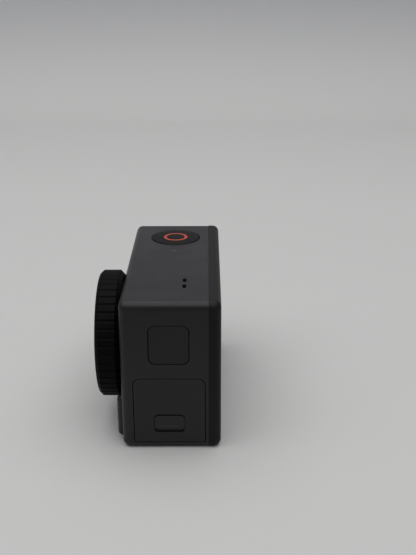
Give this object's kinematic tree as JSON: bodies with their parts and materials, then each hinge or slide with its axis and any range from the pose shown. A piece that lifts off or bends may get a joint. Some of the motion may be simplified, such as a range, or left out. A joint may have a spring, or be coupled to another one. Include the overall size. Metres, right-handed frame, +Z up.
{
  "type": "action camera",
  "caption": "Compact rectangular action camera with a removable round lens cover, screens front and back, a top shutter button and latched side doors.",
  "frame": {"origin": "on the base, under the middle of the whole camera with its lens cover on", "axes": "+Z up, lens and front screen face -Y, rear screen faces +Y, the USB door is on +X and the battery door on -X"},
  "size_m": [0.0706, 0.0346, 0.0447],
  "materials": {
    "housing": "fine moulded texture",
    "rear_frame": "satin",
    "cover_ring": "satin black",
    "glass": "polished",
    "lens_glass": "coated",
    "screen": "glossy",
    "mount_metal": "black anodised",
    "button": "satin",
    "orange": "satin",
    "rubber": "matte",
    "steel": "satin",
    "board": "solder mask",
    "chip": "matte",
    "battery": "wrapped cell",
    "contact": "plated",
    "light": "clear",
    "copper": "plain"
  },
  "bodies": {
    "camera": {"main_housing": "housing", "rear_frame": "rear_frame", "rear_cover_glass": "screen", "rear_display_panel": "screen", "front_cover_glass": "screen", "front_display_panel": "screen", "rear_frame_seal": "rubber", "lens_mount_ring": "mount_metal", "lens_barrel": "mount_metal", "lens_retaining_ring": "mount_metal", "front_lens_element": "lens_glass", "rear_lens_element": "lens_glass", "lens_barrel_seal": "rubber", "image_sensor": "chip", "sensor_board": "board", "heat_spreader": "copper", "shutter_switch": "chip", "quick_switch_switch": "chip", "usb_door_hinge_pin": "steel", "battery_door_hinge_pin": "steel", "battery_pack": "battery", "battery_pull_tab": "orange", "battery_cradle": "chip", "battery_contacts": "contact", "memory_card_socket": "steel", "main_circuit_board": "board", "processor": "chip", "usb_receptacle": "steel", "usb_board": "board", "top_microphones": "steel", "front_microphone_cover": "housing", "speaker_grille": "housing", "speaker": "chip", "front_status_light": "light", "top_status_light": "light", "base_plate": "mount_metal", "base_screws": "steel"},
    "shutter": {"shutter_button": "button", "shutter_ring": "orange"},
    "quick_switch": {"quick_switch_button": "housing"},
    "usb_door": {"usb_door": "housing", "usb_door_seal": "rubber"},
    "usb_latch": {"usb_door_latch": "housing"},
    "battery_door": {"battery_door": "housing", "battery_door_seal": "rubber"},
    "battery_latch": {"battery_door_latch": "housing"},
    "lens_cover": {"lens_cover_ring": "cover_ring", "lens_cover_glass": "glass"},
    "memory_card": {"memory_card": "chip"}
  },
  "joints": [
    {"name": "shutter_press", "type": "slide", "parent": "camera", "child": "shutter", "axis": [0, 0, -1], "range_m": [0, 0.0006], "stiffness_N_per_m": 900, "springref_m": -0.0006},
    {"name": "quick_switch_press", "type": "slide", "parent": "camera", "child": "quick_switch", "axis": [-1, 0, 0], "range_m": [0, 0.0005], "stiffness_N_per_m": 900, "springref_m": -0.0005},
    {"name": "usb_door_hinge", "type": "hinge", "parent": "camera", "child": "usb_door", "pos_m": [0.0342, 0, 0.0191], "axis": [0, -1, 0], "range_deg": [0, 110]},
    {"name": "usb_latch_slide", "type": "slide", "parent": "usb_door", "child": "usb_latch", "axis": [0, 0, -1], "range_m": [0, 0.00085]},
    {"name": "battery_door_hinge", "type": "hinge", "parent": "camera", "child": "battery_door", "pos_m": [-0.0342, 0, 0.0381], "axis": [0, 1, 0], "range_deg": [0, 110]},
    {"name": "battery_latch_slide", "type": "slide", "parent": "battery_door", "child": "battery_latch", "axis": [0, 0, -1], "range_m": [0, 0.00085]},
    {"name": "lens_cover_twist", "type": "hinge", "parent": "camera", "child": "lens_cover", "pos_m": [0.0145, -0.0173, 0.0264], "axis": [0, -1, 0], "range_deg": [0, 45]},
    {"name": "memory_card_slide", "type": "slide", "parent": "camera", "child": "memory_card", "axis": [-1, 0, 0], "range_m": [-0.0008, 0.0025]}
  ]
}
